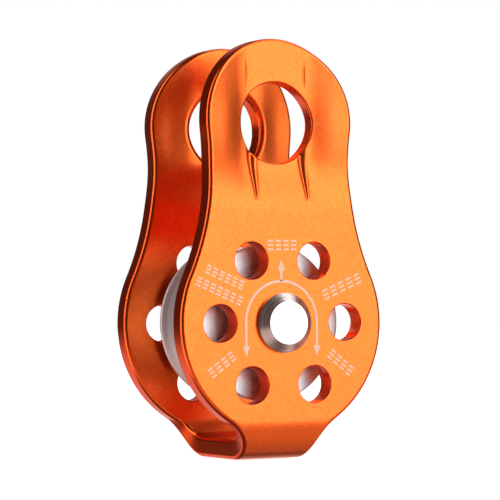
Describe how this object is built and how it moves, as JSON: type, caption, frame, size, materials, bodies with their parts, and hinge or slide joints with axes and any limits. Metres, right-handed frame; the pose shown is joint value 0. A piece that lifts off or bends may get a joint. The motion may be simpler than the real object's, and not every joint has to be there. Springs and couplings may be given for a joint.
{
  "type": "rope pulley",
  "caption": "Fixed-side rope pulley: bent-plate frame with an attachment eye, grooved sheave on sealed ball bearings and riveted axle.",
  "frame": {"origin": "centre of the attachment eye, on the mid-plane between the two side plates", "axes": "+Z from the axle up to the eye, +Y along the eye and the axle from the front plate to the rear plate, +X across the plates"},
  "size_m": [0.0568, 0.0416, 0.1045],
  "materials": {
    "frame_anodised": "bead-blasted, orange anodised",
    "axle_steel": "turned and polished stainless steel",
    "sheave_aluminium": "turned, satin",
    "spacer_steel": "turned",
    "bearing_steel": "ground",
    "ball_steel": "polished",
    "cage_steel": "pressed sheet",
    "seal_rubber": "matte black"
  },
  "bodies": {
    "frame_body": {"front_plate": "frame_anodised", "rear_plate": "frame_anodised", "strap": "frame_anodised", "axle_pin": "axle_steel", "axle_collar": "axle_steel", "front_spacer": "spacer_steel", "rear_spacer": "spacer_steel", "centre_sleeve": "spacer_steel", "front_bearing_inner_ring": "bearing_steel", "rear_bearing_inner_ring": "bearing_steel"},
    "sheave_body": {"sheave": "sheave_aluminium", "front_bearing_outer_ring": "bearing_steel", "front_bearing_outboard_seal": "seal_rubber", "front_bearing_inboard_seal": "seal_rubber", "rear_bearing_outer_ring": "bearing_steel", "rear_bearing_outboard_seal": "seal_rubber", "rear_bearing_inboard_seal": "seal_rubber"},
    "front_cage_body": {"front_bearing_cage": "cage_steel", "front_bearing_balls": "ball_steel"},
    "rear_cage_body": {"rear_bearing_cage": "cage_steel", "rear_bearing_balls": "ball_steel"}
  },
  "joints": [
    {"name": "sheave_spin", "type": "hinge", "parent": "frame_body", "child": "sheave_body", "pos_m": [0, 0, -0.0495], "axis": [0, 1, 0], "continuous": true},
    {"name": "front_cage_spin", "type": "hinge", "parent": "frame_body", "child": "front_cage_body", "pos_m": [0, 0, -0.0495], "axis": [0, 1, 0], "continuous": true},
    {"name": "rear_cage_spin", "type": "hinge", "parent": "frame_body", "child": "rear_cage_body", "pos_m": [0, 0, -0.0495], "axis": [0, 1, 0], "continuous": true}
  ],
  "couplings": [
    {"joint": "front_cage_spin", "follows": "sheave_spin", "ratio": 0.60938},
    {"joint": "rear_cage_spin", "follows": "sheave_spin", "ratio": 0.60938}
  ]
}
